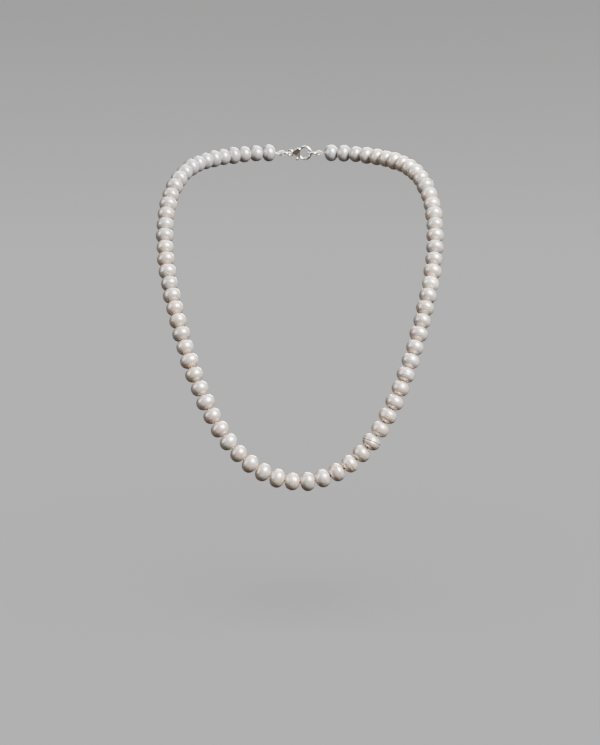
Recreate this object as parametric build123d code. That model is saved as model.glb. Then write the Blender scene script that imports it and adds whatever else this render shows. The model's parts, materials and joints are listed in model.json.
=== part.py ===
from build123d import *

import math
import os

# A knotted pearl necklace, lying as it is worn.
# Millimetres. +Z is up, +X is to the viewer's right, and the chest faces -Y.
# The origin is the middle of the neck, level with the strand where it starts round the nape.

# Pearls: off-round, a little flatter along the thread than across it.
pearl_across = 7.5
pearl_along = 5.95
across_spread = 0.25        # how far one pearl's width may be from the middle size
girth_radius = 1.8          # how round a pearl is at its widest, seen from the side
size_step = 2.4             # the widths go up and down by a sine, this far on at each pearl
first_size = {"right": 0, "left": 100, "drop": 200}
drill_bore = 0.9

# Silk thread, knotted between every two pearls.
silk_across = 0.56
knot_gap = 0.45             # bare thread between two pearls, filled by the knot
knot_clearance = 0.05       # between a knot and the rims of the drill holes beside it
knot_inset = 0.1            # each run ends this far inside its knot, clear of the next run

# How the pearls are shared out on each side, from the clasp down to the lowest point.
nape_pearls = 9             # lie round the back of the neck
stretch_pearls = 3          # between two knots that are free to bend
stretches = 9               # down each side
drop_pearls = 2             # each side of the lowest point

# Lobster claw: a round-wire hook, a block that holds the gate, and a tail eye.
hook_wire = 1.1
hook_opening = 4.6
block_depth = 2.6
block_tail_x = -5.4         # middle of the block's narrow end, from the middle of the hook
block_tail_width = 1.9
block_belly_x = -3.05       # middle of the block's round underside
block_heel_width = 2.4
block_edge = 0.45
block_relief = 0.15         # the block stands back this far from the hook's opening
eye_wire = 0.8
eye_opening = 1.6
eye_sink = 0.72             # how far the eye's wire runs into the block
gate_pivot_x = -2.95        # rivet, from the middle of the hook
gate_pivot_y = 0.75
gate_wire = 0.9
gate_reach = 4.15           # from the rivet to the end of the gate
gate_end_gap = 0.1          # between the end of the gate and the nose of the hook
gate_hub = 1.7
gate_slot_gap = 0.1         # each side of the gate, between the block's cheeks
gate_slot_length = 2.6
gate_stem = 0.81            # the round stems of the heel and the thumb tab
gate_heel = 1.25            # from the rivet down to the spring's seat
heel_lean = 7.0             # degrees, towards the tail
thumb_tab = 1.4
thumb_reach = 2.1
thumb_lean = 19.0           # degrees, towards the tail
rivet_across = 0.8
rivet_fit = 0.03            # radial
spring_across = 0.9
spring_wire = 0.2
spring_turns = 5
spring_pocket_gap = 0.05    # radial
spring_y = -0.2

# Rings, and the French-wire loops that end the strand.
catch_ring_wire = 0.9
catch_ring_opening = 3.7
jump_ring_wire = 0.8
jump_ring_opening = 3.0
jump_ring_seam = 0.04
link_clearance = 0.07       # between two links that hang in each other
loop_wall = 0.14
loop_bore_gap = 0.03        # radial, between the silk and the French wire round it
loop_length = 3.2           # from the ring's wire to the end knot
loop_sleeve = 1.2           # French wire on each leg of the loop

# Half of the drape, from beside the clasp to the lowest point: outwards, back and up.
# The first point's place across is the clasp's own, and the rest grows with the strand.
drape = [
    (12.0, 38.0, 5.5),
    (26.0, 32.5, 5.0),
    (38.0, 21.5, 3.5),
    (47.0, 8.0, 1.0),
    (53.5, -6.5, -4.5),
    (57.5, -21.5, -15.0),
    (58.0, -36.0, -28.0),
    (56.0, -48.5, -42.5),
    (52.0, -60.5, -57.0),
    (47.0, -71.0, -72.5),
    (40.5, -79.0, -88.5),
    (31.5, -84.5, -105.0),
    (18.0, -88.0, -118.5),
    (0.0, -90.0, -124.0),
]

# Sizes that follow from the ones above.
silk_radius = silk_across / 2
bore_radius = drill_bore / 2
knot_radius = math.hypot(knot_gap / 2, bore_radius) - knot_clearance
pitch = pearl_along + knot_gap
side_pearls = nape_pearls + stretches * stretch_pearls + drop_pearls
side_length = side_pearls * pitch

hook_radius = (hook_opening + hook_wire) / 2
eye_radius = (eye_opening + eye_wire) / 2
catch_ring_radius = (catch_ring_opening + catch_ring_wire) / 2
jump_ring_radius = (jump_ring_opening + jump_ring_wire) / 2
loop_bore = silk_radius + loop_bore_gap
loop_outer = loop_bore + loop_wall

# The clasp's pieces in a row along the strand, from the middle of the hook.
eye_x = block_tail_x - block_tail_width / 2 - eye_radius + eye_sink
pocket_end_x = eye_x + eye_radius + eye_wire / 2
gate_slot_width = gate_wire + 2 * gate_slot_gap
catch_near_x = hook_opening / 2 - link_clearance - catch_ring_wire / 2
catch_ring_x = catch_near_x + catch_ring_radius
catch_far_x = catch_ring_x + catch_ring_radius
jump_near_x = eye_x - eye_opening / 2 + link_clearance + jump_ring_wire / 2
jump_ring_x = jump_near_x - jump_ring_radius
jump_far_x = jump_ring_x - jump_ring_radius
end_knot_right_x = catch_far_x + loop_length
end_knot_left_x = jump_far_x - loop_length
clasp_half = (end_knot_right_x - end_knot_left_x) / 2
hook_x = -(end_knot_right_x + end_knot_left_x) / 2


def drape_curve(scale):
    """The whole drape at one scale, from the right of the clasp down and up to the left of it."""
    right = [(x * scale, y * scale, z * scale) for x, y, z in drape]
    right[0] = (clasp_half, right[0][1], right[0][2])
    left = [(-x, y, z) for x, y, z in reversed(right[:-1])]
    return Spline(*right, *left)


def fitted_drape():
    """The drape at the scale that gives the strand its length."""
    scale = 1.0
    for _ in range(6):
        scale *= 2 * side_length / drape_curve(scale).length
    return scale, drape_curve(scale)


drape_scale, whole_drape = fitted_drape()
nape_y = drape[0][1] * drape_scale
nape_z = drape[0][2] * drape_scale
right_knots = [whole_drape @ (k / (2 * side_pearls)) for k in range(side_pearls)]
right_knots.append(Vector(0, drape[-1][1] * drape_scale, drape[-1][2] * drape_scale))
left_knots = [Vector(-p.X, p.Y, p.Z) for p in right_knots]


def along(start, end):
    """A plane at start whose Z runs towards end."""
    return Plane(origin=start, z_dir=end - start)


def pearl_outline(radius, half_length):
    """Half of a pearl's outline: two caps centred on the axis, and a tighter arc round the girth."""
    reach = radius - girth_radius
    pole = half_length
    for _ in range(6):
        cap = (reach ** 2 + pole ** 2 - girth_radius ** 2) / (2 * (pole - girth_radius))
        pole = half_length + cap - math.sqrt(cap ** 2 - bore_radius ** 2)
    offset = cap - pole
    girth_angle = math.degrees(math.atan2(offset, reach))
    cap_angle = math.degrees(math.acos(bore_radius / cap)) - girth_angle
    upper = CenterArc((0, -offset), cap, girth_angle, cap_angle)
    girth = CenterArc((reach, 0), girth_radius, -girth_angle, 2 * girth_angle)
    lower = CenterArc((0, offset), cap, -girth_angle - cap_angle, cap_angle)
    return make_face([upper, girth, lower, Line(lower @ 0, upper @ 1)])


def pearl(start, end, number):
    """One pearl, drilled through, between the knots at start and end."""
    half_length = ((end - start).length - knot_gap) / 2
    radius = (pearl_across + across_spread * math.sin(number * size_step)) / 2
    solid = revolve(Plane.XZ * pearl_outline(radius, half_length), Axis.Z)
    return along((start + end) / 2, end) * solid


def pearls(knots, first, last, number):
    """The pearls between knot first and knot last."""
    return [pearl(knots[k], knots[k + 1], number + k) for k in range(first, last)]


def thread(start, end, radius=silk_radius):
    """A straight round run from start to end."""
    length = (end - start).length
    return along(start, end) * Cylinder(radius, length, align=(Align.CENTER, Align.CENTER, Align.MIN))


def clear_of_knot(knot, towards):
    """A point just outside the ball of a knot, on the way to the next one."""
    return knot + (towards - knot).normalized() * (knot_radius + knot_clearance)


def knot_ball(point, towards):
    """The knot at a point, turned so that the thread runs through its poles."""
    return along(point, towards) * Sphere(knot_radius)


def silk_pieces(points, owns_first, owns_last):
    """Runs and knots along points. An end knot that isn't owned is left clear."""
    last = len(points) - 1
    owned = [owns_first] + [True] * (last - 1) + [owns_last]
    pieces = []
    for k in range(last):
        inset = (points[k + 1] - points[k]).normalized() * knot_inset
        start = points[k] + inset if owned[k] else clear_of_knot(points[k], points[k + 1])
        end = points[k + 1] - inset if owned[k + 1] else clear_of_knot(points[k + 1], points[k])
        pieces.append(thread(start, end))
    for k in range(last + 1):
        if owned[k]:
            pieces.append(knot_ball(points[k], points[k + 1] if k < last else points[k - 1]))
    return pieces


def joined(pieces):
    """Pieces that meet, as one solid."""
    return pieces[0].fuse(*pieces[1:])


# The clasp's plane: X along the strand, Y down, Z away from the chest, zero in the middle of the hook.
seat = Plane(origin=(hook_x, nape_y, nape_z), x_dir=(1, 0, 0), z_dir=(0, 1, 0))


def disc(x, y, radius, depth):
    """A round plate, half its depth each side of the clasp's plane."""
    return Pos(x, y, 0) * Cylinder(radius, depth)


def ring(x, opening, wire):
    """A round-wire ring that stands across the claw, in the plane of local X and Z."""
    return Pos(x, 0, 0) * Rot(90, 0, 0) * Torus((opening + wire) / 2, wire / 2)


def claw_body():
    """Hook, block and tail eye in one casting, slotted for the gate and drilled for its rivet."""
    hook = Torus(hook_radius, hook_wire / 2)
    gate_gap = disc(gate_pivot_x, gate_pivot_y, gate_reach + gate_end_gap, block_depth)
    above = Pos(0, gate_pivot_y + gate_reach, 0) * Box(4 * hook_radius, 2 * gate_reach, block_depth)
    hook -= gate_gap & above
    outline = [
        Pos(gate_pivot_x, gate_pivot_y) * Circle(block_heel_width / 2),
        Pos(block_tail_x, 0) * Circle(block_tail_width / 2),
        Pos(block_belly_x, -block_heel_width / 2) * Circle(block_heel_width / 2),
    ]
    edges = [edge for circle in outline for edge in circle.edges()]
    block = extrude(make_hull(edges), block_depth / 2, both=True)
    block = fillet(block.faces().filter_by(Axis.Z).edges(), block_edge)
    block -= Cylinder(hook_opening / 2 + block_relief, block_depth)
    slot = disc(gate_pivot_x, gate_pivot_y, gate_heel + gate_wire / 2 + gate_slot_gap, gate_slot_width)
    slot_mouth = Box(gate_slot_length, 2 * gate_hub, gate_slot_width)
    slot += Pos(gate_pivot_x, gate_pivot_y + gate_hub, 0) * slot_mouth
    pocket = Pos(pocket_end_x, spring_y, 0) * Rot(0, 90, 0) * Cylinder(
        spring_across / 2 + spring_pocket_gap,
        gate_pivot_x - pocket_end_x,
        align=(Align.CENTER, Align.CENTER, Align.MIN),
    )
    rivet_hole = disc(gate_pivot_x, gate_pivot_y, rivet_across / 2 + rivet_fit, 2 * block_depth)
    eye = Pos(eye_x, 0, 0) * Torus(eye_radius, eye_wire / 2)
    body = hook + block + eye
    return body - slot - pocket - rivet_hole


def gate_lever():
    """Gate, hub, heel and thumb tab in one piece, turning on the rivet."""
    sweep_disc = disc(gate_pivot_x, gate_pivot_y, gate_reach, block_depth)
    above = Pos(0, gate_pivot_y + gate_reach, 0) * Box(4 * hook_radius, 2 * gate_reach, block_depth)
    arm = Torus(hook_radius, gate_wire / 2) & sweep_disc & above
    hub = disc(gate_pivot_x, gate_pivot_y, gate_hub / 2, gate_wire)
    pivot = Vector(gate_pivot_x, gate_pivot_y, 0)
    heel_end = pivot + Vector(0, -gate_heel, 0).rotate(Axis.Z, -heel_lean)
    tab_end = pivot + Vector(0, thumb_reach, 0).rotate(Axis.Z, thumb_lean)
    stems = thread(pivot, heel_end, gate_stem / 2) + thread(pivot, tab_end, gate_stem / 2)
    lever = arm + hub + stems + Pos(tab_end.X, tab_end.Y, 0) * Sphere(thumb_tab / 2)
    return lever - disc(gate_pivot_x, gate_pivot_y, rivet_across / 2 + rivet_fit, 2 * block_depth)


def gate_rivet():
    """A plain pin through both cheeks of the block."""
    return disc(gate_pivot_x, gate_pivot_y, rivet_across / 2, block_depth)


def gate_spring():
    """A coil between the end of its pocket and the lever's heel."""
    heel_x = gate_pivot_x - gate_heel * math.sin(math.radians(heel_lean))
    heel_face = heel_x - gate_wire / 2 - spring_wire
    start = pocket_end_x + spring_wire
    length = heel_face - start
    coil = Helix(length / spring_turns, length, (spring_across - spring_wire) / 2)
    wire = sweep(Plane(origin=coil @ 0, z_dir=coil % 0) * Circle(spring_wire / 2), path=coil)
    return Pos(start, spring_y, 0) * Rot(0, 90, 0) * wire


def jump_ring():
    """The ring at the tail, cut once so that it can be opened to fit it."""
    whole = ring(jump_ring_x, jump_ring_opening, jump_ring_wire)
    seam = Pos(jump_ring_x, 0, jump_ring_radius) * Box(jump_ring_seam, 2 * jump_ring_wire, 2 * jump_ring_wire)
    return whole - seam


def loop_pieces(ring_x, knot_x, radius, leg):
    """A loop round a ring's wire at ring_x, with two straight legs towards the end knot."""
    turn = link_loop_radius(ring_x)
    side = 1 if knot_x > ring_x else -1
    half_angle = math.degrees(math.acos(turn / loop_length))
    middle = 180 if side > 0 else 0
    arc = Pos(ring_x, 0) * CenterArc((0, 0), turn, middle - 180 + half_angle, 360 - 2 * half_angle)
    pieces = [sweep(Plane(origin=arc @ 0, z_dir=arc % 0) * Circle(radius), path=arc)]
    for end, heading in ((arc @ 0, (arc % 0) * -1), (arc @ 1, arc % 1)):
        pieces.append(thread(end, end + heading * leg, radius))
    return pieces


def link_loop_radius(ring_x):
    """From the middle of the ring's wire to the middle of the loop round it."""
    wire = catch_ring_wire if ring_x > 0 else jump_ring_wire
    return wire / 2 + link_clearance + loop_outer


def loop_leg(ring_x):
    return math.sqrt(loop_length ** 2 - link_loop_radius(ring_x) ** 2)


def french_wire(ring_x, knot_x):
    """The coiled-wire sleeve that keeps the ring from wearing the silk, as one hollow tube."""
    sleeve = joined(loop_pieces(ring_x, knot_x, loop_outer, loop_sleeve))
    return sleeve - joined(loop_pieces(ring_x, knot_x, loop_bore, 2 * loop_sleeve))


def save(name, solids):
    """Writes a node's STEP file. A list gives a group of separate solids."""
    shapes = solids if isinstance(solids, list) else [solids]
    export_step(Compound(children=[Compound(shape.solids()) for shape in shapes]), f"parts/{name}.step")


def build_nape():
    for side, knots, ring_x, knot_x in (
        ("left", left_knots, jump_far_x, end_knot_left_x),
        ("right", right_knots, catch_far_x, end_knot_right_x),
    ):
        save(f"pearls_nape_{side}", pearls(knots, 0, nape_pearls, first_size[side]))
        loop = loop_pieces(ring_x, knot_x, silk_radius, loop_leg(ring_x) - knot_inset)
        run = silk_pieces(knots[: nape_pearls + 1], True, True)
        save(f"silk_nape_{side}", joined(run + [seat * piece for piece in loop]))
        save(f"french_wire_{side}", seat * french_wire(ring_x, knot_x))


def build_sides():
    for side, knots in (("left", left_knots), ("right", right_knots)):
        for n in range(stretches):
            first = nape_pearls + n * stretch_pearls
            last = first + stretch_pearls
            save(f"pearls_{side}_{n + 1}", pearls(knots, first, last, first_size[side]))
            save(f"silk_{side}_{n + 1}", joined(silk_pieces(knots[first : last + 1], False, True)))


def build_drop():
    first = side_pearls - drop_pearls
    across = left_knots[first:] + right_knots[first:side_pearls][::-1]
    save("pearls_drop", pearls(across, 0, 2 * drop_pearls, first_size["drop"]))
    save("silk_drop", joined(silk_pieces(across, False, False)))


def build_clasp():
    save("claw_body", seat * claw_body())
    save("gate_lever", seat * gate_lever())
    save("gate_rivet", seat * gate_rivet())
    save("gate_spring", seat * gate_spring())
    save("jump_ring", seat * jump_ring())
    save("catch_ring", seat * ring(catch_ring_x, catch_ring_opening, catch_ring_wire))


def main():
    os.makedirs("parts", exist_ok=True)
    build_nape()
    build_sides()
    build_drop()
    build_clasp()
    strand_length = 2 * side_length + 2 * clasp_half
    print(f"strand with its clasp {strand_length:.1f} mm, {2 * side_pearls} pearls")
    print(f"drape scale {drape_scale:.4f}, clasp {2 * clasp_half:.2f} mm between its end knots")
    print(f"knot {2 * knot_radius:.2f} mm across")


main()
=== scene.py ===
# %% [markdown]
# # A knotted pearl necklace
# The real object is a string of 76 freshwater pearls on one silk thread, with a knot between every two
# of them, closed at the nape by a small silver lobster claw. The CAD frame holds its sizes and joints.
# This lesson dresses that frame: it measures where every pearl and knot lies in the CAD meshes, and puts
# a finely made mesh there, so that nothing is placed by eye. All lengths are in metres.

# %% Load the CAD frame
import json
import math
import random

import bpy
import numpy as np
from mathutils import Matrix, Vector


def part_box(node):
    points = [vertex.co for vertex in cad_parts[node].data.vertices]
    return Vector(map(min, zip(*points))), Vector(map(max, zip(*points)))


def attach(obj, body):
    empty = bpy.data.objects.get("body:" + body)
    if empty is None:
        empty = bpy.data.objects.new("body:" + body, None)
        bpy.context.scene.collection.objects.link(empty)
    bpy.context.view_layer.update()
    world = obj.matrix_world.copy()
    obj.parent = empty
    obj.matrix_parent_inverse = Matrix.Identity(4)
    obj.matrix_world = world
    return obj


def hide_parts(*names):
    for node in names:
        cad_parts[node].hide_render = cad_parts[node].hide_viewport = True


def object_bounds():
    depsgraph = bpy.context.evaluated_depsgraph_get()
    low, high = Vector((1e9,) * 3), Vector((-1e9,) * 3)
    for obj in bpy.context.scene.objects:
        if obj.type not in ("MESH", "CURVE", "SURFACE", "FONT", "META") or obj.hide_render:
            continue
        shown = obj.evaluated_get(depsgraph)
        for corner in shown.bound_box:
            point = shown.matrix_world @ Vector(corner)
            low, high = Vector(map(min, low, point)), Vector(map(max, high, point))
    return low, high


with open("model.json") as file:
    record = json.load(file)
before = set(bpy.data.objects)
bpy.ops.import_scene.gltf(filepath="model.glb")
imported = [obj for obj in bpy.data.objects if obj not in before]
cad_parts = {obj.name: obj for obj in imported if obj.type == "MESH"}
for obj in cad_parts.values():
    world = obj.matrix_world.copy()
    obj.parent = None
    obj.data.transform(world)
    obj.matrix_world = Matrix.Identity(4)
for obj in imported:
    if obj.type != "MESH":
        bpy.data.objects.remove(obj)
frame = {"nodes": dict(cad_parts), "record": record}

cad_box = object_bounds()
MM = 0.001
print("CAD box from", [round(c, 4) for c in cad_box[0]], "to", [round(c, 4) for c in cad_box[1]])

# %% [markdown]
# ## The camera
# In a studio the camera stands well back and has a long lens, so that the pearls at the shoulders and
# those at the bottom come out nearly the same size. It looks along +Y and nine degrees down. Its place
# is worked out from the lowest pearls, which are the nearest part of the strand: step back from them
# along the line of sight, then rise until they sit low in the frame.

# %% Camera
down_tilt = math.radians(9)
lens_mm = 96.3
sensor_mm = 36
view_distance = 0.662
rise_above_drop = 0.0453
half_a_pearl = 3.5 * MM
nearest_seen = 0.01

drop_lo, drop_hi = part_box("pearls_drop")
drop_x = (drop_lo.x + drop_hi.x) / 2
drop_y = (drop_lo.y + drop_hi.y) / 2
strand_front = Vector((drop_x, drop_y, drop_lo.z + half_a_pearl))
line_of_sight = Vector((0, math.cos(down_tilt), -math.sin(down_tilt)))
camera_up = Vector((0, math.sin(down_tilt), math.cos(down_tilt)))

camera_data = bpy.data.cameras.new("long_lens")
camera_data.sensor_fit = "HORIZONTAL"
camera_data.sensor_width = sensor_mm
camera_data.lens = lens_mm
camera_data.clip_start = nearest_seen
camera = bpy.data.objects.new("camera", camera_data)
camera.location = strand_front - view_distance * line_of_sight + rise_above_drop * camera_up
camera.rotation_euler = (math.pi / 2 - down_tilt, 0, 0)
bpy.context.scene.collection.objects.link(camera)
bpy.context.scene.camera = camera
print("camera stands at", [round(c, 3) for c in camera.location])

# %% [markdown]
# ## Floor
# The floor is a wide shallow bowl of paper, flat in the middle and curved up far away, so that from every
# side there is paper behind the pearls and no horizon. Pearls are little mirrors. On pale paper their lower
# sides would turn white, and they would look like chalk. In a studio, black cards just out of view prevent
# it. Here the paper is hidden from reflected and scattered light, which does the same from every side.

# %% Paper bowl
floor_drop = 48 * MM
floor_height = cad_box[0][2] - floor_drop
flat_reach = 1.5
bowl_radius = 1.1
bowl_wall = 0.5


def mesh_object(name, vertices, faces):
    """A new mesh object at the origin, with its place in its vertices."""
    mesh = bpy.data.meshes.new(name)
    mesh.from_pydata([tuple(v) for v in vertices], [], [tuple(f) for f in faces])
    mesh.validate()
    made = bpy.data.objects.new(name, mesh)
    bpy.context.scene.collection.objects.link(made)
    return made


def paper_bowl(sides=96, steps=14, flat_rings=(0.3, 0.8)):
    """The floor: a flat disc, a quarter round and a short wall, turned about the origin."""
    bend = np.linspace(0, math.pi / 2, steps)
    reach = list(flat_rings) + list(flat_reach + bowl_radius * np.sin(bend)) + [flat_reach + bowl_radius]
    rise = [0.0] * len(flat_rings) + list(bowl_radius * (1 - np.cos(bend))) + [bowl_radius + bowl_wall]
    points = [(0.0, 0.0, floor_height)]
    for r, z in zip(reach, rise):
        points += [(r * math.cos(a), r * math.sin(a), floor_height + z)
                   for a in np.linspace(0, 2 * math.pi, sides, endpoint=False)]
    faces = [(0, 1 + k, 1 + (k + 1) % sides) for k in range(sides)]
    for row in range(len(reach) - 1):
        low, high = 1 + row * sides, 1 + (row + 1) * sides
        for k in range(sides):
            beside = (k + 1) % sides
            faces.append((low + k, high + k, high + beside, low + beside))
    made = mesh_object("floor", points, faces)
    made.data.polygons.foreach_set("use_smooth", np.ones(len(faces), bool))
    return made


floor = paper_bowl()
floor.visible_glossy = False
floor.visible_diffuse = False
print("paper bowl", round(2 * (flat_reach + bowl_radius), 2), "m across, at height", round(floor_height, 3))

# %% [markdown]
# ## Lights and room
# Large soft boxes make the broad highlights that show lustre, and a dim room leaves the edges of each pearl
# darker, which makes it look round. The key box stands high on the right. A cooler, weaker box on the left
# gives the second highlight, one overhead and one behind give a thin bright rim and light the back of the
# strand, and a small warm one low down stands for light from a table. None of them lights the paper. Light
# linking leaves it to one wide lamp overhead, so that it is evenly pale, with a soft shadow.

# %% Lamps
middle = Vector((0, -0.04, -0.06))
only_floor = bpy.data.collections.new("only_floor")
only_floor.objects.link(floor)
all_but_floor = bpy.data.collections.new("all_but_floor")
all_but_floor.objects.link(floor)
all_but_floor.collection_objects[0].light_linking.link_state = "EXCLUDE"


def soft_box(name, place, across, high, watts, colour):
    """A rectangular lamp at place, turned towards the middle of the necklace."""
    light = bpy.data.lights.new(name, "AREA")
    light.shape = "RECTANGLE"
    light.size = across
    light.size_y = high
    light.energy = watts
    light.color = colour
    lamp = bpy.data.objects.new(name, light)
    lamp.location = middle + Vector(place)
    lamp.rotation_euler = (-Vector(place)).to_track_quat("-Z", "Y").to_euler()
    lamp.light_linking.receiver_collection = all_but_floor
    bpy.context.scene.collection.objects.link(lamp)
    print(name, "at", [round(c, 2) for c in lamp.location], watts, "W")
    return lamp


soft_box("key_box", (0.49, -0.47, 0.60), 0.44, 0.52, 26.0, (0.985, 0.99, 1.0))
soft_box("cool_box", (-0.72, -0.22, 0.34), 0.30, 0.60, 2.6, (0.90, 0.95, 1.0))
soft_box("top_box", (0.0, 0.30, 0.90), 0.90, 0.50, 4.0, (0.90, 0.95, 1.0))
soft_box("back_box", (0.12, 0.80, 0.34), 0.50, 0.50, 7.0, (0.97, 0.985, 1.0))
soft_box("warm_box", (-0.16, -0.50, -0.26), 0.40, 0.14, 0.45, (1.0, 0.76, 0.52))

overhead = bpy.data.lights.new("overhead", "SUN")
overhead.angle = 1.2                # radians: as wide as a cloudy sky, for a soft shadow
overhead.energy = 2.3
overhead_lamp = bpy.data.objects.new("overhead", overhead)
overhead_lamp.light_linking.receiver_collection = only_floor
bpy.context.scene.collection.objects.link(overhead_lamp)

room = bpy.data.worlds.new("room")
room.use_nodes = True
room_light = room.node_tree.nodes["Background"]
room_light.inputs["Color"].default_value = (1.0, 0.91, 0.81, 1)
room_light.inputs["Strength"].default_value = 0.12
bpy.context.scene.world = room
bpy.context.scene.view_settings.look = "AgX - Medium High Contrast"
print("room strength", room_light.inputs["Strength"].default_value)

# %% [markdown]
# ## Writing shader maths as Python
# A finish is a graph of nodes. Written out node by node it hides the idea, so one small class wraps a
# socket: adding or multiplying two of them adds the Math node that does it. Colours don't go through Math
# nodes, which would turn them grey, so they have their own methods. Every other node is made by one call
# that takes its type, its settings, and what goes into its sockets.

# %% Socket maths and finishes
class Flow:
    """A value, colour or vector that flows out of one socket of a finish."""

    def __init__(self, finish, socket):
        self.finish = finish
        self.socket = socket

    def maths(self, operation, *values):
        """This value put through a Math node with others."""
        inputs = dict(enumerate((self,) + values))
        return self.finish.node("ShaderNodeMath", {"operation": operation}, inputs)

    def __add__(self, other):
        return self.maths("ADD", other)

    def __sub__(self, other):
        return self.maths("SUBTRACT", other)

    def __mul__(self, other):
        return self.maths("MULTIPLY", other)

    def __rsub__(self, other):
        return self.maths("MULTIPLY", -1.0).maths("ADD", other)

    __radd__ = __add__
    __rmul__ = __mul__

    def between(self, low, high):
        """0 below low, 1 above high, and smooth between them."""
        settings = {"interpolation_type": "SMOOTHSTEP"}
        return self.finish.node(
            "ShaderNodeMapRange", settings, {"Value": self, "From Min": low, "From Max": high}
        )

    def stretched(self, x, y, z):
        """This vector with its three parts scaled, through Vector Math."""
        return self.finish.node("ShaderNodeVectorMath", {"operation": "MULTIPLY"}, {0: self, 1: (x, y, z)})

    def blended(self, other, share, how="MIX"):
        """This colour mixed with another by share."""
        settings = {"data_type": "RGBA", "blend_type": how}
        inputs = {"Factor": share, 6: self, 7: other}
        return self.finish.node("ShaderNodeMix", settings, inputs, output=2)


class Finish:
    """A node material under construction."""

    def __init__(self, name):
        self.material = bpy.data.materials.new(name)
        self.material.use_nodes = True
        self.tree = self.material.node_tree
        self.tree.nodes.clear()

    def node(self, kind, settings=None, inputs=None, output=0):
        """Adds one node: its settings first, then values or links for its sockets."""
        made = self.tree.nodes.new(kind)
        for key, value in (settings or {}).items():
            setattr(made, key, value)
        for key, value in (inputs or {}).items():
            socket = made.inputs[key]
            if isinstance(value, Flow):
                self.tree.links.new(value.socket, socket)
            else:
                socket.default_value = value
        return Flow(self, made.outputs[output] if made.outputs else None)

    def colour(self, red, green, blue):
        """A plain colour to start from."""
        plain = self.node("ShaderNodeRGB")
        plain.socket.default_value = (red, green, blue, 1)
        return plain

    def place(self):
        """Where a point is on its CAD piece, in metres."""
        return self.node("ShaderNodeTexCoord", output=3)

    def attribute(self, name, output=0):
        """What the mesh carries under that name: 0 colour, 1 vector, 2 number."""
        return self.node("ShaderNodeAttribute", {"attribute_name": name}, output=output)

    def noise(self, where, scale, detail=2.0, roughness=0.5, distortion=0.0):
        """Cloudy variation from 0 to 1 about 1/scale across."""
        inputs = {"Vector": where, "Scale": scale, "Detail": detail, "Roughness": roughness}
        inputs["Distortion"] = distortion
        return self.node("ShaderNodeTexNoise", {}, inputs)

    def bumps(self, height, depth):
        """A normal that makes height, from 0 to 1, stand depth metres proud."""
        return self.node("ShaderNodeBump", {}, {"Height": height, "Distance": depth, "Strength": 1.0})

    def surface(self, **sockets):
        """Ends the finish in a Principled surface. Underscores in the names stand for spaces."""
        inputs = {name.replace("_", " "): value for name, value in sockets.items()}
        skin = self.node("ShaderNodeBsdfPrincipled", {}, inputs)
        self.node("ShaderNodeOutputMaterial", {}, {"Surface": skin})
        print("finish", self.material.name, "has", len(self.tree.nodes), "nodes")
        return self.material


# %% [markdown]
# ## Floor finish
# A sheet of pale seamless paper: almost flat in colour, with a very fine tooth. A little light of its own
# keeps the far, curved part as pale as the flat one, so that no edge shows.

# %% Paper floor
paper = Finish("seamless_paper")
tooth = paper.noise(paper.place(), 900.0, detail=3.0)
clouds = paper.noise(paper.place(), 1.4)
paper_tone = paper.colour(0.40, 0.40, 0.403).blended((0.38, 0.382, 0.387, 1), clouds)
floor.data.materials.append(
    paper.surface(
        Base_Color=paper_tone,
        Roughness=tooth * 0.1 + 0.75,
        Normal=paper.bumps(tooth, 0.02 * MM),
        Emission_Color=paper_tone,
        Emission_Strength=0.38,
    )
)

# %% [markdown]
# ## Nacre
# A freshwater pearl is nacre all the way through: thousands of clear plates, each a little thinner than a
# wavelength of light. Light comes back from many depths, so the highlight is soft and milky, and thin
# layers tint it rose and green. Three things make that here: light scattered below the surface, a satin
# base with a clearer coat, and a thin film. The base counts as partly metallic, because the plates tint
# what they reflect. What changes over a pearl is its colour, its relief, and how rough and how well coated
# it is: clouds of rose and cool grey, a painted warm glow at the drill holes that stands for light bounced
# between neighbouring pearls and scattered through the nacre, golden marks, and the growth rings and the
# orange peel that this kind of pearl always has.

# %% Nacre finish
nacre = Finish("nacre")
on_pearl = nacre.attribute("nacre_place", output=1)      # millimetres, Z along the thread
own_tint = nacre.attribute("nacre_tint")
painted_glow_at_mouth = nacre.attribute("painted_drill_glow", output=2)
at_mark = nacre.attribute("golden_mark", output=2)

rose_cloud = nacre.noise(on_pearl, 0.22, detail=1.0).between(0.42, 0.66)
cool_cloud = nacre.noise(on_pearl.stretched(1.0, 1.0, 1.7), 0.19, detail=1.0).between(0.50, 0.72)
growth = nacre.noise(on_pearl.stretched(0.16, 0.16, 2.1), 1.0, detail=3.0, distortion=0.5)
peel = nacre.noise(on_pearl, 2.4, detail=2.0)
speckle = nacre.noise(on_pearl, 5.5, detail=1.0).between(0.62, 0.80)

nacre_tone = own_tint.blended((1.0, 0.92, 0.89, 1), rose_cloud * 0.7, "MULTIPLY")
nacre_tone = nacre_tone.blended((0.91, 0.955, 0.99, 1), cool_cloud * 0.6, "MULTIPLY")
nacre_tone = nacre_tone.blended((0.90, 0.85, 0.79, 1), growth.between(0.52, 0.78) * 0.45, "MULTIPLY")
nacre_tone = nacre_tone.blended((0.95, 0.92, 0.88, 1), speckle * 0.3, "MULTIPLY")
# Painted warm glow at the drill holes: cream colour standing for light bounced between neighbouring pearls
# and scattered through the nacre there.
nacre_tone = nacre_tone.blended((0.93, 0.82, 0.62, 1), painted_glow_at_mouth * 0.65)
nacre_tone = nacre_tone.blended((0.50, 0.30, 0.12, 1), at_mark)
nacre_relief = growth * 0.6 + peel * 0.16 + at_mark * 0.3

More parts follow.
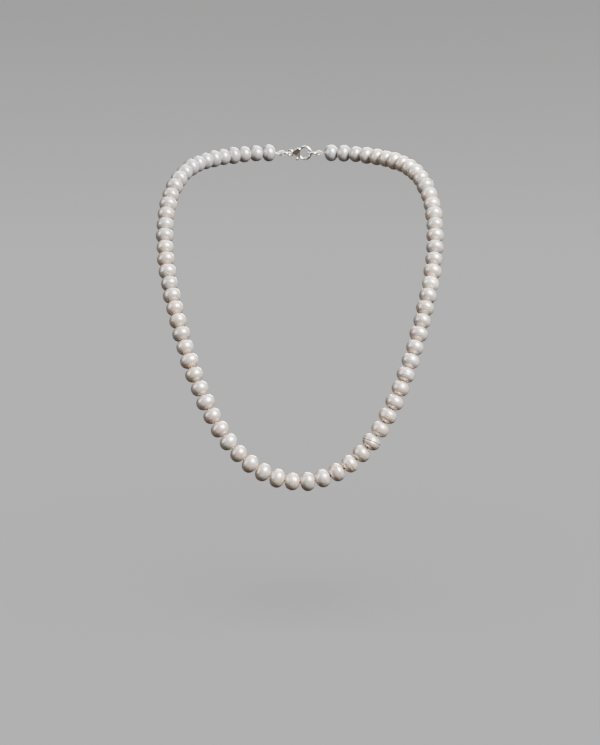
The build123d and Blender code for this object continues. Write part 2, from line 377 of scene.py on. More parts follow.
NACRE = nacre.surface(
    Base_Color=nacre_tone,
    Metallic=0.42,
    Roughness=peel * 0.08 + at_mark * 0.2 + growth * 0.10 + painted_glow_at_mouth * 0.30 + 0.26,
    Specular_Tint=(0.80, 0.70, 0.60, 1),
    IOR=1.53,
    Normal=nacre.bumps(nacre_relief, 0.028 * MM),
    Subsurface_Weight=0.36,
    Subsurface_Radius=(1.0, 0.82, 0.66),
    Subsurface_Scale=1.0 * MM,
    Coat_Weight=0.55 - at_mark * 0.3 - painted_glow_at_mouth * 0.45,
    Coat_Roughness=0.18,
    Coat_IOR=1.5,
    Thin_Film_Thickness=330.0,
    Thin_Film_IOR=1.68,
)

# %% [markdown]
# ## Where every pearl lies
# The CAD nodes hold pearls in groups, as one mesh for each stretch of strand. Faces that share a point
# belong to one pearl, so a union-find splits a group. A pearl is round about its drill hole, so the
# spread of its surface, weighted by face area, is the same in two directions and different in the third:
# that third direction is the thread.

# %% Split a group into pearls
def point_table(mesh):
    """The places of a mesh's vertices, one in each row."""
    points = np.zeros(len(mesh.vertices) * 3, np.float32)
    mesh.vertices.foreach_get("co", points)
    return points.reshape(-1, 3)


def corner_table(mesh):
    """For each face the number of its first corner, and for each corner its vertex."""
    corner = np.zeros(len(mesh.polygons), np.int32)
    mesh.polygons.foreach_get("loop_start", corner)
    loops = np.zeros(len(mesh.loops), np.int32)
    mesh.loops.foreach_get("vertex_index", loops)
    return corner, loops


def loose_parts(node):
    """For each separate solid of a CAD node, the numbers of its faces."""
    mesh = frame["nodes"][node].data
    grid = np.round(point_table(mesh) / MM, 3)
    _, welded = np.unique(grid, axis=0, return_inverse=True)
    welded = welded.ravel()
    links = np.zeros(len(mesh.edges) * 2, np.int32)
    mesh.edges.foreach_get("vertices", links)
    chief = list(range(int(welded.max()) + 1))

    def chief_of(i):
        while chief[i] != i:
            chief[i] = chief[chief[i]]
            i = chief[i]
        return i

    for a, b in welded[links].reshape(-1, 2).tolist():
        chief[chief_of(a)] = chief_of(b)
    corner, loops = corner_table(mesh)
    owner = np.array([chief_of(int(welded[v])) for v in loops[corner]])
    return [np.flatnonzero(owner == c) for c in np.unique(owner)]


print("the lowest stretch holds", len(loose_parts("pearls_drop")), "pearls")

# %% [markdown]
# ## One pearl's place
# The middle, the direction of the thread, half the length and the radius say all that a new mesh needs.

# %% Measure one pearl
def surface_points(mesh, faces):
    """The corners of some of a mesh's triangles."""
    corner, loops = corner_table(mesh)
    used = np.unique(loops[corner[faces][:, None] + np.arange(3)])
    return point_table(mesh)[used].astype(float)


class PearlPlace:
    """Where one pearl is, which way its thread runs, and how large it is."""

    def __init__(self, node, faces):
        mesh = frame["nodes"][node].data
        centres = np.zeros(len(mesh.polygons) * 3, np.float32)
        mesh.polygons.foreach_get("center", centres)
        areas = np.zeros(len(mesh.polygons), np.float32)
        mesh.polygons.foreach_get("area", areas)
        centres = centres.reshape(-1, 3)[faces].astype(float)
        weight = areas[faces].astype(float) / areas[faces].sum()
        middle_point = weight @ centres
        spread = ((centres - middle_point) * weight[:, None]).T @ (centres - middle_point)
        values, vectors = np.linalg.eigh(spread)
        odd = 0 if values[1] - values[0] > values[2] - values[1] else 2
        axis = vectors[:, odd]
        corners = surface_points(mesh, faces) - middle_point
        along = corners @ axis
        aside = np.linalg.norm(corners - np.outer(along, axis), axis=1)
        self.node = node
        self.centre = Vector(middle_point + axis * float(along.max() + along.min()) / 2)
        self.axis = Vector(axis)
        self.half_length = float(along.max() - along.min()) / 2
        self.radius = float(aside.max())

    def face_towards(self, point):
        """Turns the axis so that it runs from here towards a point."""
        if self.axis.dot(point - self.centre) < 0:
            self.axis = -self.axis


one_pearl = PearlPlace("pearls_drop", loose_parts("pearls_drop")[0])
print("one of them is", round(2 * one_pearl.radius / MM, 2), "mm across")

# %% [markdown]
# ## The whole strand in order
# The record says which body holds each node. Round the nape the pearls are put in order by how far they
# are from the clasp, down the sides by height, and at the bottom from left to right.

# %% Put the pearls in order
groups = frame["record"]["behaviour"]["bodies"]
body_of_node = {node: body for body, nodes in groups.items() for node in nodes}
stretches = sum(1 for node in body_of_node if node.startswith("pearls_left_"))
how_far_back = 4            # what distance from the clasp, back to front, counts against sideways


def measured(node, order):
    """The pearls of one node, put in order."""
    found = [PearlPlace(node, faces) for faces in loose_parts(node)]
    return sorted(found, key=order)


def side_pearls(side):
    """One side's pearls from the clasp down to the last that isn't in the lowest stretch."""
    row = measured(f"pearls_nape_{side}", lambda p: abs(p.centre.x) - how_far_back * p.centre.y)
    for n in range(1, stretches + 1):
        row += measured(f"pearls_{side}_{n}", lambda p: -p.centre.z)
    return row


drop_row = measured("pearls_drop", lambda p: p.centre.x)
half_drop = len(drop_row) // 2
left_row = side_pearls("left") + drop_row[:half_drop]
right_row = side_pearls("right") + drop_row[half_drop:][::-1]
whole_row = left_row + right_row[::-1]
for here, ahead in zip(whole_row, whole_row[1:]):
    here.face_towards(ahead.centre)
whole_row[-1].face_towards(2 * whole_row[-1].centre - whole_row[-2].centre)
print(len(whole_row), "pearls,", round(2 * one_pearl.half_length / MM, 2), "mm along the thread")

# %% [markdown]
# ## The knots
# A knot fills the gap between two drill holes, so it lies half way between their rims. Half a gap beyond
# the first and the last pearl are the end knots, where the thread divides into the loops for the clasp.

# %% Work out the knots
def rim(pearl, way):
    """The middle of a drill hole: way is 1 at the far end and -1 at the near one."""
    return pearl.centre + way * pearl.half_length * pearl.axis


knots = [(rim(a, 1) + rim(b, -1)) / 2 for a, b in zip(whole_row, whole_row[1:])]
knot_gap = sum((rim(b, -1) - rim(a, 1)).length for a, b in zip(whole_row, whole_row[1:])) / len(knots)
knots.insert(0, rim(whole_row[0], -1) - knot_gap / 2 * whole_row[0].axis)
knots.append(rim(whole_row[-1], 1) + knot_gap / 2 * whole_row[-1].axis)
pearls_a_side = len(left_row)
print(len(knots), "knots, mean gap", round(knot_gap / MM, 3), "mm")

# %% [markdown]
# ## The shape of one pearl
# A pearl is never quite round. Its mesh starts as a plain outline, turned about the thread and drilled
# right through. Then it is pushed out of true, most at the girth and not at all at the drill holes, where
# the knots have to fit: a slow swelling round the axis, one end fuller than the other, rings pressed in
# where growth paused, and small pits. Chance decides, from one fixed seed for a pearl.

# %% How a pearl departs from the plain shape
seed_start = 9000
swell_most = 0.011          # shares of the radius
second_swell_most = 0.010
fuller_end_most = 0.22
ring_chance = 0.42
lean_most = 0.12
drift_most = 400            # millimetres: no two pearls show the same piece of the nacre pattern
warm = (0.78, 0.71, 0.615)
rosy = (0.775, 0.69, 0.625)
cool = (0.73, 0.705, 0.665)
tint_pairs = ((warm, rosy), (warm, cool), (rosy, cool), (warm, warm))


class PearlForm:
    """How one pearl departs from the plain shape.

    A ring is (level, depth in mm, width), a pit is (angle, level, size, depth in mm), and a golden mark
    is (angle, level, size, strength, hollow). Levels run from -1 to 1 along the thread.
    """

    def __init__(self, number):
        chance = random.Random(seed_start + number)
        whole_turn = 2 * math.pi
        self.swell = []
        for lobes, most in ((1, swell_most), (2, swell_most), (3, swell_most), (2, second_swell_most)):
            self.swell.append((lobes, chance.uniform(-most, most), chance.uniform(0, whole_turn)))
        self.fuller_end = chance.uniform(-fuller_end_most, fuller_end_most)
        self.size = 1 + chance.uniform(0.002, 0.026)
        self.rings = []
        if chance.random() < ring_chance:
            level = chance.uniform(-0.55, 0.55)
            self.rings.append((level, chance.uniform(0.04, 0.09), chance.uniform(0.06, 0.12)))
        self.pits = []
        for _ in range(chance.choice((0, 0, 1, 1, 2))):
            angle, level = chance.uniform(0, whole_turn), chance.uniform(-0.6, 0.6)
            self.pits.append((angle, level, chance.uniform(0.10, 0.22), chance.uniform(0.03, 0.07)))
        self.marks = []
        self.tilt = chance.uniform(-lean_most, lean_most)
        self.turn = chance.uniform(0, whole_turn)
        self.drift = Vector([chance.uniform(-drift_most, drift_most) for _ in range(3)])
        first, second = chance.choice(tint_pairs)
        share = chance.random()
        depth = chance.uniform(0.81, 0.95)
        self.tint = [depth * (a + (b - a) * share) for a, b in zip(first, second)] + [1.0]


print("pearl 0 has", len(PearlForm(0).rings), "rings and", len(PearlForm(0).pits), "pits")

# %% [markdown]
# ## The outline, with a seat for the knot
# A knot drawn tight is pulled a little way into the drill hole, and the nacre round the hole stands past
# it. So the outline is slightly longer than the pearl measured from rim to rim, and dips to the rim.

# %% The plain outline
drill_radius = 0.45 * MM
rim_chamfer = 0.04 * MM
girth_rings = 34
fullness = 2.22             # 2 is an ellipse, and more is fuller towards the drill holes
seat_depth = 0.11 * MM
seat_reach = 0.48 * MM


def hump(distance, width):
    """1 at distance 0, falling smoothly away over width."""
    return np.exp(-((distance / width) ** 2))


def pearl_outline(radius, half_length):
    """Points of the plain outline from one drill rim to the other, as (aside, along) pairs."""
    mouth = drill_radius + rim_chamfer
    share = mouth / radius
    start = math.acos(share ** (fullness / 2))
    angles = np.linspace(start, -start, girth_rings)
    aside = radius * np.cos(angles) ** (2 / fullness)
    lift = half_length + seat_depth
    full = lift * np.abs(np.sin(angles)) ** (2 / fullness)
    proud = lift * math.sin(start) ** (2 / fullness) - half_length
    seat = proud * hump(aside - mouth, seat_reach)
    along = np.sign(angles) * (full - seat)
    inner = half_length - rim_chamfer
    return (np.concatenate([[drill_radius], aside, [drill_radius]]),
            np.concatenate([[inner], along, [-inner]]))


plain_aside, plain_along = pearl_outline(one_pearl.radius, one_pearl.half_length)
print("outline of", len(plain_aside), "points,", round(2 * plain_along.max() / MM, 2), "mm long")

# %% [markdown]
# ## From outline to mesh
# The outline is turned about the thread and closed through the drill hole. What the finish reads is
# carried by the mesh: where a point is on the pearl, how near the hole (for the painted warm glow there),
# how golden, and the pearl's tint.
# A ring pressed into the girth throws up a lip beside it, as a real growth ring does.

# %% One pearl's mesh
around = 56
bore_rings = 4
# How far from the drill hole the painted warm glow reaches.
painted_glow_reach = 1.0 * MM
fuller_end_push = 0.10
lip_share = 0.45
lip_away = 2                # ring widths
hold_at_hole = 1.5          # how strongly the push fades towards the drill holes


def carry(piece, name, kind, field, values):
    """Stores one value for each point of a mesh, for its finish to read."""
    layer = piece.data.attributes.new(name, kind, "POINT")
    layer.data.foreach_set(field, np.asarray(values, np.float32).ravel())


def pearl_mesh(name, place, form, finer=1):
    """A drilled pearl in its CAD place, with the values that its finish reads."""
    sides = around * finer
    turn = np.linspace(0, 2 * math.pi, sides, endpoint=False)
    aside, along = pearl_outline(place.radius * form.size, place.half_length)
    if finer > 1:
        steps = np.linspace(0, 1, len(aside) * finer)
        old = np.linspace(0, 1, len(aside))
        aside, along = np.interp(steps, old, aside), np.interp(steps, old, along)
    free = np.clip((aside - drill_radius) / (place.radius - drill_radius), 0, 1) ** hold_at_hole
    level = along / place.half_length
    aside = aside[:, None] * np.ones(sides)
    along = along[:, None] * np.ones(sides)
    push = np.zeros_like(aside)
    for lobes, amount, phase in form.swell:
        push += amount * np.cos(lobes * turn + phase)[None, :]
    push += form.fuller_end * fuller_end_push * level[:, None] * (1 - level[:, None] ** 2)
    leaning = level[:, None] + form.tilt * np.cos(turn + form.turn)[None, :]

    def from_spot(angle, height):
        """How far every point is from one spot, in radii."""
        round_about = (turn - angle + math.pi) % (2 * math.pi) - math.pi
        return np.hypot(round_about[None, :] * aside / place.radius, level[:, None] - height)

    for ring_level, depth, width in form.rings:
        lip = leaning - ring_level - lip_away * width
        push -= depth * MM / place.radius * hump(leaning - ring_level, width)
        push += lip_share * depth * MM / place.radius * hump(lip, width)
    for angle, height, size, depth in form.pits:
        push -= depth * MM / place.radius * hump(from_spot(angle, height), size)
    shown = aside * (1 + push * free[:, None])
    mark = np.zeros_like(aside)
    for angle, height, size, strength, hollow in form.marks:
        mark += strength * hump(from_spot(angle, height) - hollow, size)
    local = np.stack([shown * np.cos(turn), shown * np.sin(turn), along], axis=-1)
    bore = np.linspace(along[-1, 0], along[0, 0], bore_rings + 2)[1:-1]
    each = np.ones(bore_rings)
    wall = np.stack([np.outer(each, drill_radius * np.cos(turn)),
                     np.outer(each, drill_radius * np.sin(turn)),
                     np.outer(bore, np.ones(sides))], axis=-1)
    rows = np.concatenate([local, wall])
    count = len(rows)
    turning = place.axis.to_track_quat("Z", "Y").to_matrix()
    world = rows.reshape(-1, 3) @ np.array(turning).T + np.array(place.centre)
    faces = []
    for r in range(count):
        above = (r + 1) % count
        for s in range(sides):
            beside = (s + 1) % sides
            faces.append((r * sides + s, above * sides + s, above * sides + beside, r * sides + beside))
    made = mesh_object(name, world, faces)
    made.data.polygons.foreach_set("use_smooth", np.ones(len(faces), bool))
    # Near the drill holes and down the bore: the mask of the painted warm glow.
    ends = np.zeros(rows.shape[:2])
    ends[:len(aside)] = hump(np.clip(aside - drill_radius, 0, None), painted_glow_reach)
    ends[len(aside):] = 1.0
    marks = np.zeros(rows.shape[:2])
    marks[:len(aside)] = np.clip(mark, 0, 1)
    place_mm = rows.reshape(-1, 3) / MM + np.array(form.drift)
    carry(made, "nacre_place", "FLOAT_VECTOR", "vector", place_mm)
    carry(made, "nacre_tint", "FLOAT_COLOR", "color", np.tile(form.tint, (count * sides, 1)))
    carry(made, "painted_drill_glow", "FLOAT", "value", ends)
    carry(made, "golden_mark", "FLOAT", "value", marks)
    made.data.materials.append(NACRE)
    return made


print("pearl mesh", around, "by", girth_rings, "and", bore_rings, "rings down the drill hole")

# %% [markdown]
# ## Pearls with a character of their own
# Most pearls come from chance, but a few in the strand are easy to know again: one with a deep ring a few
# places up on the right, one by the lowest point with a bright band, one with rings on its side, a ringed
# one and a larger one up the left, two with a faint mark, and one high on the right with a pit and
# golden-brown marks. They are counted from the lowest point, and their meshes are twice as fine, because
# a groove needs it. Towards the nape all pearls are painted greyer and darker, sooner on the left: partly
# a greyer tone of their own, partly painted shade such as a neck would cast.

# %% The remarkable pearls
finer_mesh = 2
# The darker grey that pearls near the nape are mixed towards: painted shade, partly their own greyer tone.
grey = (0.50, 0.515, 0.54)
most_nape_shade = 0.7
first_nape_shaded = {"left": 24, "right": 32}
nape_shading_pearls = 6


def front_angle(place):
    """The turn about the thread that points at the camera, so that a mark can be put in view."""
    turning = place.axis.to_track_quat("Z", "Y").to_matrix()
    local = turning.transposed() @ (camera.location - place.centre)
    return math.atan2(local.y, local.x)


def make_remarkable(side, number, place, form):
    """Changes the form of the few pearls that stand out. Returns how much finer the mesh is."""
    towards = front_angle(place)
    if (side, number) == ("right", 6):
        form.rings = [(-0.02, 0.26, 0.075), (0.26, 0.07, 0.05), (-0.30, 0.06, 0.05)]
        form.tilt = 0.34
        form.turn = math.pi / 2 - towards
    elif (side, number) == ("right", 2):
        form.rings = [(0.10, 0.06, 0.06), (0.34, 0.05, 0.05), (0.55, 0.04, 0.05)]
    elif (side, number) == ("right", 4):
        form.rings = [(-0.10, 0.08, 0.10)]
        form.marks = [(towards + 0.2, 0.1, 0.10, 0.18, 0.0)]
    elif (side, number) == ("left", 1):
        form.rings = [(-0.40, 0.10, 0.11), (0.42, 0.09, 0.11)]
        form.size = 1.0
    elif (side, number) == ("left", 15):
        form.rings = [(0.05, 0.20, 0.08)]
        form.marks = [(towards + 0.35, 0.05, 0.08, 0.25, 0.0)]
    elif (side, number) == ("left", 9):
        form.size = 1.028
        form.rings = []
    elif (side, number) == ("left", 22):
        form.marks = [(towards - 0.1, 0.25, 0.16, 0.28, 0.0)]
    elif (side, number) == ("right", 18):
        form.pits = [(towards + 0.25, 0.15, 0.26, 0.22), (towards - 0.35, -0.1, 0.18, 0.12)]
        form.marks = [(towards + 0.25, 0.15, 0.07, 0.95, 0.27), (towards - 0.30, -0.05, 0.12, 0.7, 0.0),
                      (towards + 0.75, 0.45, 0.10, 0.5, 0.0)]
        form.tint = [0.88, 0.84, 0.76, 1.0]
    else:
        return 1
    return finer_mesh


def painted_nape_shade(side, number, form):
    """Greys and darkens the pearls from the shoulder to the nape, sooner on the left: painted shade of a
    neck, with some greyer tone of their own.
    """
    share = min(max((number - first_nape_shaded[side]) / nape_shading_pearls, 0), 1)
    form.tint = [a + (b - a) * most_nape_shade * share for a, b in zip(form.tint, grey)] + [1.0]


print("the pearls turn grey from number", first_nape_shaded["left"], "on the left")

# %% [markdown]
# ## Stringing the pearls
# Each pearl is a piece of its own. It rides on the CAD body that holds its stretch of strand, so it goes
# where the strand goes when a knot bends. Each side has its own run of seeds.

# %% Make all the pearls
first_seed = {"left": 500, "right": 0}

for side, row in (("left", left_row), ("right", right_row)):
    for place_number, place in enumerate(row):
        from_lowest = len(row) - place_number
        form = PearlForm(first_seed[side] + place_number)
        finer = make_remarkable(side, from_lowest, place, form)
        # Painted shade near the nape, together with a greyer tone.
        painted_nape_shade(side, from_lowest, form)
        pearl = pearl_mesh(f"pearl_{side}_{from_lowest:02d}", place, form, finer)
        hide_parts(place.node)
        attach(pearl, body_of_node[place.node])
print(len(left_row) + len(right_row), "pearls strung")

# %% [markdown]
# ## Silk
# Bead silk is two plies twisted together, about half a millimetre across, and it takes the colour of
# cream as it is handled. A tube would look like plastic, so both plies are made: two helices along the
# line of the thread. A knot is an overhand knot drawn tight. Its line is a trefoil, the simplest real
# knot, pressed into the gap between two pearls.

# %% Silk finish
silk = Finish("ivory_silk")
along_ply = silk.attribute("ply_place", output=1)
fibres = silk.noise(along_ply.stretched(0.9, 6.0, 6.0), 3.0, detail=4.0, roughness=0.7)
handling = silk.noise(silk.place(), 260.0, detail=2.0)
silk_tone = silk.colour(0.97, 0.90, 0.74).blended((0.90, 0.78, 0.58, 1), handling.between(0.45, 0.75) * 0.6)
silk_tone = silk_tone.blended((0.98, 0.94, 0.84, 1), fibres.between(0.5, 0.8) * 0.6)
SILK = silk.surface(
    Base_Color=silk_tone,
    Roughness=fibres * 0.25 + 0.45,
    Normal=silk.bumps(fibres, 0.02 * MM),
    Sheen_Weight=0.35,
    Sheen_Roughness=0.4,
    Subsurface_Weight=0.15,
    Subsurface_Radius=(1.0, 0.8, 0.6),
    Subsurface_Scale=0.15 * MM,
)

# %% [markdown]
# ## A tube along a line
# Thread, knots and the coiled wire are all tubes along a line of points. A frame carried along the line
# by the least turn at each step keeps the tube from twisting, and the plies then wind round it.

# %% A tube
def carried_frames(points, closed=False):
    """Two directions across the line at every point, carried on by the least turn."""
    count = len(points)
    ahead = np.roll(points, -1, axis=0) - np.roll(points, 1, axis=0)
    if not closed:
        ahead[0] = points[1] - points[0]
        ahead[-1] = points[-1] - points[-2]
    ahead /= np.linalg.norm(ahead, axis=1)[:, None]
    start = np.array([0.0, 0.0, 1.0]) if abs(ahead[0][2]) < 0.9 else np.array([0.0, 1.0, 0.0])
    across = np.zeros_like(points)
    across[0] = np.cross(ahead[0], start)
    for i in range(1, count):
        across[i] = across[i - 1] - ahead[i] * (across[i - 1] @ ahead[i])
        across[i] /= np.linalg.norm(across[i])
    across[0] /= np.linalg.norm(across[0])
    return ahead, across, np.cross(ahead, across)


def tube(points, radius, sides, closed=False):
    """Vertices, faces and thread places of a round tube with closed ends."""
    points = np.asarray(points, float)
    _, across, upright = carried_frames(points, closed)
    turn = np.linspace(0, 2 * math.pi, sides, endpoint=False)
    ring_out = across[:, None, :] * np.cos(turn)[None, :, None]
    ring_out = ring_out + upright[:, None, :] * np.sin(turn)[None, :, None]
    radii = np.broadcast_to(np.asarray(radius, float), (len(points),))
    body = points[:, None, :] + radii[:, None, None] * ring_out
    rows = len(points)
    faces = []
    for r in range(rows if closed else rows - 1):
        after = (r + 1) % rows
        for s in range(sides):
            beside = (s + 1) % sides
            near, far = r * sides, after * sides
            faces.append((near + s, near + beside, far + beside, far + s))
    if not closed:
        faces.append(tuple(range(sides))[::-1])
        faces.append(tuple((rows - 1) * sides + s for s in range(sides)))
    steps = np.linalg.norm(np.diff(points, axis=0), axis=1)
    run = np.concatenate([[0], np.cumsum(steps)]) / MM
    rims = (np.tile(np.cos(turn), rows), np.tile(np.sin(turn), rows))
    unrolled = np.stack([np.repeat(run, sides), *rims], axis=-1)
    return body.reshape(-1, 3), faces, unrolled


test_tube = tube([(0, 0, 0), (0, 0, MM), (0, MM, 2 * MM)], MM / 4, 8)
print("a tube through three points has", len(test_tube[0]), "vertices and", len(test_tube[1]), "faces")

# %% [markdown]
# ## Winding and joining
# A ply or a turn of wire is a helix round another line, which first has to have evenly spaced points.

# %% Helices, even spacing, and one mesh from many tubes
def wound(points, offset, turns, phase):
    """A helix of the given offset round a line of points."""
    points = np.asarray(points, float)
    _, across, upright = carried_frames(points)
    steps = np.linalg.norm(np.diff(points, axis=0), axis=1)
    share = np.concatenate([[0], np.cumsum(steps)]) / steps.sum()
    angle = 2 * math.pi * turns * share + phase
    return points + offset * (across * np.cos(angle)[:, None] + upright * np.sin(angle)[:, None])


def resampled(points, step):
    """Points evenly spaced along a line."""
    points = np.asarray(points, float)
    steps = np.linalg.norm(np.diff(points, axis=0), axis=1)
    run = np.concatenate([[0], np.cumsum(steps)])
    count = max(int(round(run[-1] / step)), 2)
    wanted = np.linspace(0, run[-1], count + 1)
    return np.stack([np.interp(wanted, run, points[:, k]) for k in range(3)], axis=-1)


def one_piece(name, tubes, finish):
    """Several tubes as one mesh object."""
    vertices, faces, places = [], [], []
    for body, its_faces, unrolled in tubes:
        base = sum(len(v) for v in vertices)
        vertices.append(body)
        places.append(unrolled)
        faces += [tuple(base + i for i in f) for f in its_faces]
    made = mesh_object(name, np.concatenate(vertices), faces)
    made.data.polygons.foreach_set("use_smooth", np.ones(len(made.data.polygons), bool))
    carry(made, "ply_place", "FLOAT_VECTOR", "vector", np.concatenate(places))
    made.data.materials.append(finish)
    return made


print("a 1 mm line in steps of a quarter has", len(resampled([(0, 0, 0), (0, 0, MM)], MM / 4)), "points")

# %% [markdown]
# ## Thread and knots
# A length of thread runs from knot to knot and owns the knots inside it. The knot where two lengths meet
# belongs to one of them, and the other stops just short of it, inside the drill hole, so that it stays
# clear when that knot bends.

# %% Thread and knots
silk_across = 0.54 * MM
ply = silk_across / 4
ply_offset = 0.92 * ply
ply_radius = 1.04 * ply
ply_turn_length = 1.5 * MM
ply_sides = 7
thread_step = 0.16 * MM
knot_points = 54
knot_reach = 0.098 * MM
knot_rise = 0.15 * MM
knot_strand_radius = 0.15 * MM
knot_sides = 8
short_of_knot = 0.42 * MM


def two_ply(points):
    """Both plies of a length of thread."""
    line = resampled(points, thread_step)
    length = np.linalg.norm(np.diff(line, axis=0), axis=1).sum()
    turns = max(length / ply_turn_length, 0.5)
    return [tube(wound(line, ply_offset, turns, phase), ply_radius, ply_sides) for phase in (0, math.pi)]


def overhand_knot(point, direction):
    """An overhand knot drawn tight: the thread along a trefoil."""
    t = np.linspace(0, 2 * math.pi, knot_points, endpoint=False)
    trefoil = np.stack([(np.sin(t) + 2 * np.sin(2 * t)) * knot_reach,
                        (np.cos(t) - 2 * np.cos(2 * t)) * knot_reach,
                        -np.sin(3 * t) * knot_rise], axis=-1)
    turning = np.array(direction.to_track_quat("Z", "Y").to_matrix())
    return tube(trefoil @ turning.T + np.array(point), knot_strand_radius, knot_sides, closed=True)


def between_knots(first, last, owns_first, owns_last):
    """Thread from knot first to knot last, with the knots that it owns."""
    tubes = []
    for k in range(first, last):
        way = (knots[k + 1] - knots[k]).normalized()
        start = knots[k] + way * (0 if (k > first or owns_first) else short_of_knot)
        end = knots[k + 1] - way * (0 if (k + 1 < last or owns_last) else short_of_knot)
        tubes += two_ply([start, end])
    for k in range(first, last + 1):
        if (k > first or owns_first) and (k < last or owns_last):
            ahead = knots[k + 1] if k + 1 < len(knots) else 2 * knots[k] - knots[k - 1]
            behind = knots[k - 1] if k > 0 else 2 * knots[k] - knots[k + 1]
            tubes.append(overhand_knot(knots[k], (ahead - behind).normalized()))
    return tubes


knot_across = 2 * (3 * knot_reach + knot_strand_radius)
print("plies", round(2 * ply_radius / MM, 2), "mm thick, knots", round(knot_across / MM, 2), "mm across")

# %% [markdown]
# ## The loops at the clasp
# At each end the thread goes through a ring and back, and the loop is armoured with French wire: a fine
# silver wire wound so closely that it can be threaded like a bead. The loop goes round the ring's wire,
# and both its legs run to the end knot.

# %% Loops
last_knot = len(knots) - 1
nape_last = sum(place.node == "pearls_nape_left" for place in left_row)
loop_points = 41


def loop_line(side):
    """The line of one end's loop, from the end knot round the ring and back, and its sleeve's radius."""
    sleeve_low, sleeve_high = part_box(f"french_wire_{side}")
    ring_node = "jump_ring" if side == "left" else "catch_ring"
    ring_low, ring_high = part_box(ring_node)
    wire = ring_high.z - ring_low.z
    outward = -1 if side == "left" else 1
    ring_x = ring_low.x + wire / 2 if side == "left" else ring_high.x - wire / 2
    knot = knots[0] if side == "left" else knots[last_knot]
    centre = Vector((ring_x, knot.y, (sleeve_low.z + sleeve_high.z) / 2))
    sleeve_radius = (sleeve_high.y - sleeve_low.y) / 2
    bend = (sleeve_high.z - sleeve_low.z) / 2 - sleeve_radius
    reach = (knot - centre).length
    lean = math.acos(bend / reach)
    angles = np.linspace(lean, 2 * math.pi - lean, loop_points)
    arc = [centre + Vector((outward * bend * math.cos(a), 0, bend * math.sin(a))) for a in angles]
    print(side, "loop bends at", round(bend / MM, 2), "mm round the ring's wire")
    return [knot] + arc + [knot], sleeve_radius


for side in ("left", "right"):
    loop_plies = two_ply(loop_line(side)[0])
    if side == "left":
        strand = between_knots(0, nape_last, True, True)
    else:
        strand = between_knots(last_knot - nape_last, last_knot, True, True)
    nape_silk = one_piece(f"silk_thread_nape_{side}", strand + loop_plies, SILK)
    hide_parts(f"silk_nape_{side}")
    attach(nape_silk, body_of_node[f"silk_nape_{side}"])

# %% [markdown]
# ## The thread of the stretches that bend
# The thread is one piece on the real strand. Here it is cut at the knots that bend, and every length rides
# with its own pearls.

# %% The thread down both sides and across the bottom
pearls_a_stretch = (pearls_a_side - nape_last - half_drop) // stretches
for n in range(1, stretches + 1):
    first = nape_last + (n - 1) * pearls_a_stretch
    last = first + pearls_a_stretch
    for side in ("left", "right"):
        if side == "left":
            tubes = between_knots(first, last, False, True)
        else:
            tubes = between_knots(last_knot - last, last_knot - first, True, False)
        stretch_silk = one_piece(f"silk_thread_{side}_{n}", tubes, SILK)
        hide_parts(f"silk_{side}_{n}")
        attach(stretch_silk, body_of_node[f"silk_{side}_{n}"])

lowest = pearls_a_side - half_drop
drop_silk = one_piece("silk_thread_drop", between_knots(lowest, last_knot - lowest, False, False), SILK)
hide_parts("silk_drop")
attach(drop_silk, body_of_node["silk_drop"])
print("thread made for", 2 * stretches + 3, "lengths of silk")

# %% [markdown]
# ## Silver
# The claw is cast in sterling silver and polished, and so are the rings. Handling leaves fine scratches
# in every direction and a faint yellow tarnish where fingers don't rub. French wire and the spring are
# drawn wire, so their lines run along the wire.

# %% Metal finishes
def silver_finish(name, bright, tarnished, polish, scratch_depth):
    """A polished silver with clouds of tarnish and fine scratches."""
    metal = Finish(name)
    where = metal.place()
    cloud = metal.noise(where, 420.0, detail=4.0, roughness=0.6)
    scratch = metal.noise(where.stretched(1.0, 9.0, 2.5), 1500.0, detail=3.0, roughness=0.7)
    cross_scratch = metal.noise(where.stretched(7.0, 1.0, 3.0), 1300.0, detail=3.0, roughness=0.7)
    stained = cloud.between(0.50, 0.72)
    tone = metal.colour(*bright).blended(tarnished, stained * 0.55)
    tone = tone.blended((0.55, 0.50, 0.44, 1), scratch.between(0.62, 0.75) * 0.25)
    return metal.surface(
        Base_Color=tone,
        Metallic=1.0,
        Roughness=stained * 0.16 + scratch * 0.12 + polish,
        Normal=metal.bumps(scratch * 0.5 + cross_scratch * 0.5, scratch_depth),
    )


def drawn_wire_finish(name, bright, dull, polish):
    """A drawn wire, with die lines along it."""
    metal = Finish(name)
    on_wire = metal.attribute("ply_place", output=1)
    lines = metal.noise(on_wire.stretched(0.25, 7.0, 7.0), 1.0, detail=3.0)
    soil = metal.noise(metal.place(), 900.0, detail=2.0).between(0.45, 0.75)
    tone = metal.colour(*bright).blended(dull, soil * 0.7)
    return metal.surface(
        Base_Color=tone,
        Metallic=1.0,
        Roughness=lines * 0.2 + soil * 0.15 + polish,
        Normal=metal.bumps(lines, 0.006 * MM),
    )


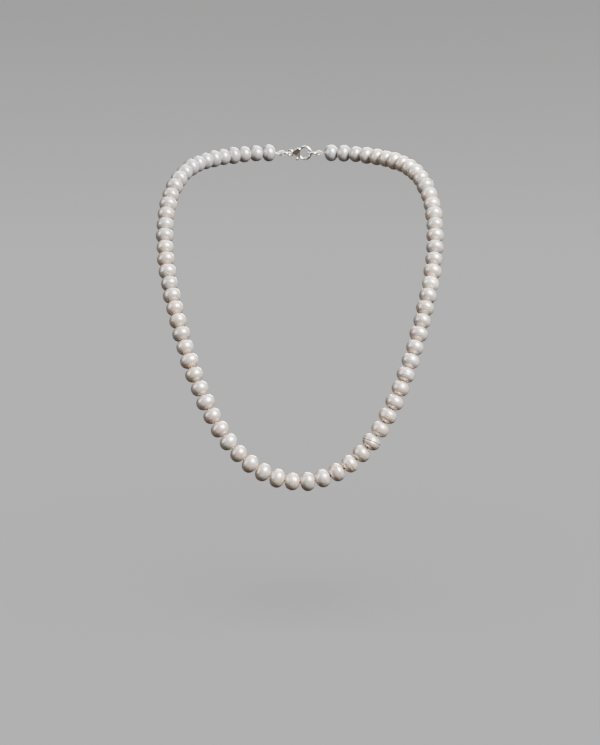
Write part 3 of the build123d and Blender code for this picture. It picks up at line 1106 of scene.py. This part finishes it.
SILVER = silver_finish("sterling_silver", (0.93, 0.91, 0.87), (0.72, 0.62, 0.44, 1), 0.10, 0.006 * MM)
SOLDERED = silver_finish("soldered_silver", (0.90, 0.89, 0.86), (0.66, 0.60, 0.50, 1), 0.16, 0.009 * MM)
RIVET = silver_finish("rivet_silver", (0.80, 0.79, 0.77), (0.50, 0.46, 0.40, 1), 0.22, 0.012 * MM)
SPRING = silver_finish("spring_wire", (0.56, 0.56, 0.58), (0.38, 0.35, 0.31, 1), 0.24, 0.008 * MM)
GIMP = drawn_wire_finish("french_wire", (0.92, 0.90, 0.86), (0.60, 0.54, 0.42, 1), 0.18)


def refinish(node, finish):
    """Gives a CAD node that stays in view its real finish."""
    mesh = frame["nodes"][node].data
    mesh.materials.clear()
    mesh.materials.append(finish)
    print(node, "has", len(mesh.polygons), "faces in", finish.name)


# %% [markdown]
# ## The clasp and its rings
# Their CAD meshes are already the right shape, so they stay and only get a finish.

# %% Finish the clasp
for node, finish in (("claw_body", SILVER), ("gate_lever", SILVER), ("gate_rivet", RIVET),
                     ("gate_spring", SPRING), ("jump_ring", SILVER), ("catch_ring", SOLDERED)):
    refinish(node, finish)

# %% [markdown]
# ## French wire
# A wire an eighth of a millimetre thick, wound turn against turn round the loop of silk.

# %% French wire
gimp_wire = 0.13 * MM
gimp_leg = 1.15 * MM
gimp_sides = 6
turn_spacing = 1.06         # wires from one turn to the next
turns_a_mm = 1 / (gimp_wire / MM * turn_spacing)
samples_a_turn = 14

for side in ("left", "right"):
    line, sleeve_radius = loop_line(side)
    arc = [Vector(p) for p in line[1:-1]]
    first_way = (line[0] - line[1]).normalized()
    last_way = (line[-1] - line[-2]).normalized()
    sleeve = [arc[0] + first_way * gimp_leg] + arc + [arc[-1] + last_way * gimp_leg]
    length = sum((b - a).length for a, b in zip(sleeve, sleeve[1:]))
    turns = round(length / MM * turns_a_mm)
    fine_line = resampled(sleeve, length / (turns * samples_a_turn))
    coil = wound(fine_line, sleeve_radius - gimp_wire / 2, turns, 0)
    gimp = one_piece(f"gimp_coil_{side}", [tube(coil, gimp_wire / 2, gimp_sides)], GIMP)
    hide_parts(f"french_wire_{side}")
    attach(gimp, body_of_node[f"french_wire_{side}"])
    print(side, "French wire has", turns, "turns")

# %% [markdown]
# ## The end
# The view layer is brought up to date.

# %% Finish
bpy.context.view_layer.update()
